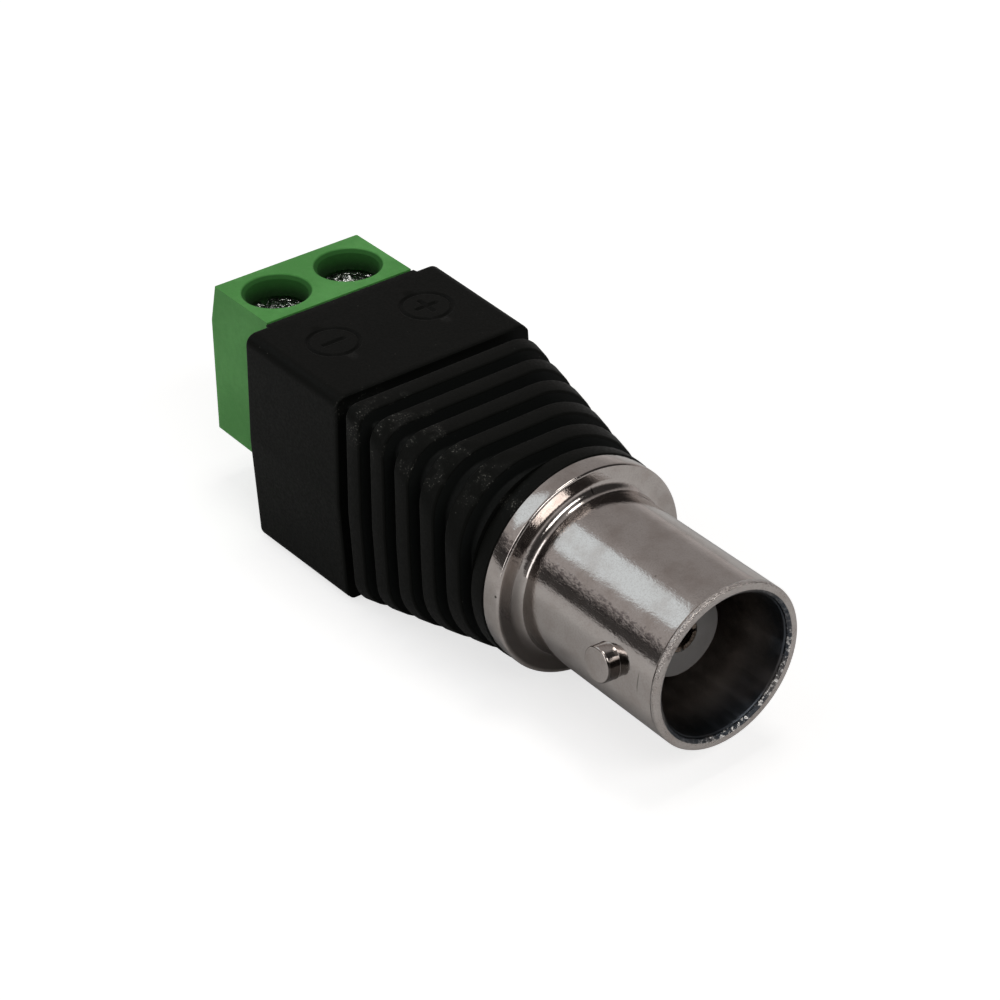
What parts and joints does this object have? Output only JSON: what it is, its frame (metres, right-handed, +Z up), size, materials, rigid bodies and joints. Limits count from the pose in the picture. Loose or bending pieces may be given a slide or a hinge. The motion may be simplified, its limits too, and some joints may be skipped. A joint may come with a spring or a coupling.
{
  "type": "bnc screw terminal connector",
  "caption": "Bayonet coaxial jack joined by a ribbed moulded body to a screw terminal with rising clamps.",
  "frame": {"origin": "centre of the jack's mouth, on the jack's axis", "axes": "+X out of the mouth along the jack's axis, +Z up through the screw heads, +Y to the plus pole"},
  "size_m": [0.0402, 0.0138, 0.0136],
  "materials": {
    "black_plastic": "satin",
    "green_plastic": "satin",
    "nickel_plate": "gloss",
    "dielectric": "satin",
    "contact_plate": "gloss",
    "zinc_steel": "satin",
    "tinned_metal": "satin",
    "copper": "satin",
    "red_sleeve": "satin",
    "black_sleeve": "satin",
    "solder": "satin"
  },
  "bodies": {
    "body": {"overmould_body": "black_plastic", "terminal_housing": "green_plastic", "jack_shell": "nickel_plate", "front_insulator": "dielectric", "rear_insulator": "dielectric", "centre_contact": "contact_plate", "ground_tag": "tinned_metal", "contact_bar_minus": "tinned_metal", "contact_bar_plus": "tinned_metal", "signal_wire_core": "copper", "ground_wire_core": "copper", "signal_wire_sleeve": "red_sleeve", "ground_wire_sleeve": "black_sleeve", "signal_solder_contact": "solder", "signal_solder_terminal": "solder", "ground_solder_tag": "solder", "ground_solder_terminal": "solder"},
    "minus_screw": {"clamp_screw_minus": "zinc_steel"},
    "minus_cage": {"clamp_cage_minus": "zinc_steel"},
    "plus_screw": {"clamp_screw_plus": "zinc_steel"},
    "plus_cage": {"clamp_cage_plus": "zinc_steel"}
  },
  "joints": [
    {"name": "minus_screw_turn", "type": "hinge", "parent": "body", "child": "minus_screw", "pos_m": [-0.0365, -0.0025, 0.004], "axis": [0, 0, -1], "range_deg": [0, 1440]},
    {"name": "minus_cage_lift", "type": "slide", "parent": "body", "child": "minus_cage", "axis": [0, 0, 1], "range_m": [0, 0.002]},
    {"name": "plus_screw_turn", "type": "hinge", "parent": "body", "child": "plus_screw", "pos_m": [-0.0365, 0.0025, 0.004], "axis": [0, 0, -1], "range_deg": [0, 1440]},
    {"name": "plus_cage_lift", "type": "slide", "parent": "body", "child": "plus_cage", "axis": [0, 0, 1], "range_m": [0, 0.002]}
  ],
  "couplings": [
    {"joint": "minus_screw_turn", "follows": "minus_cage_lift", "rad_per_m": 12566},
    {"joint": "plus_screw_turn", "follows": "plus_cage_lift", "rad_per_m": 12566}
  ]
}
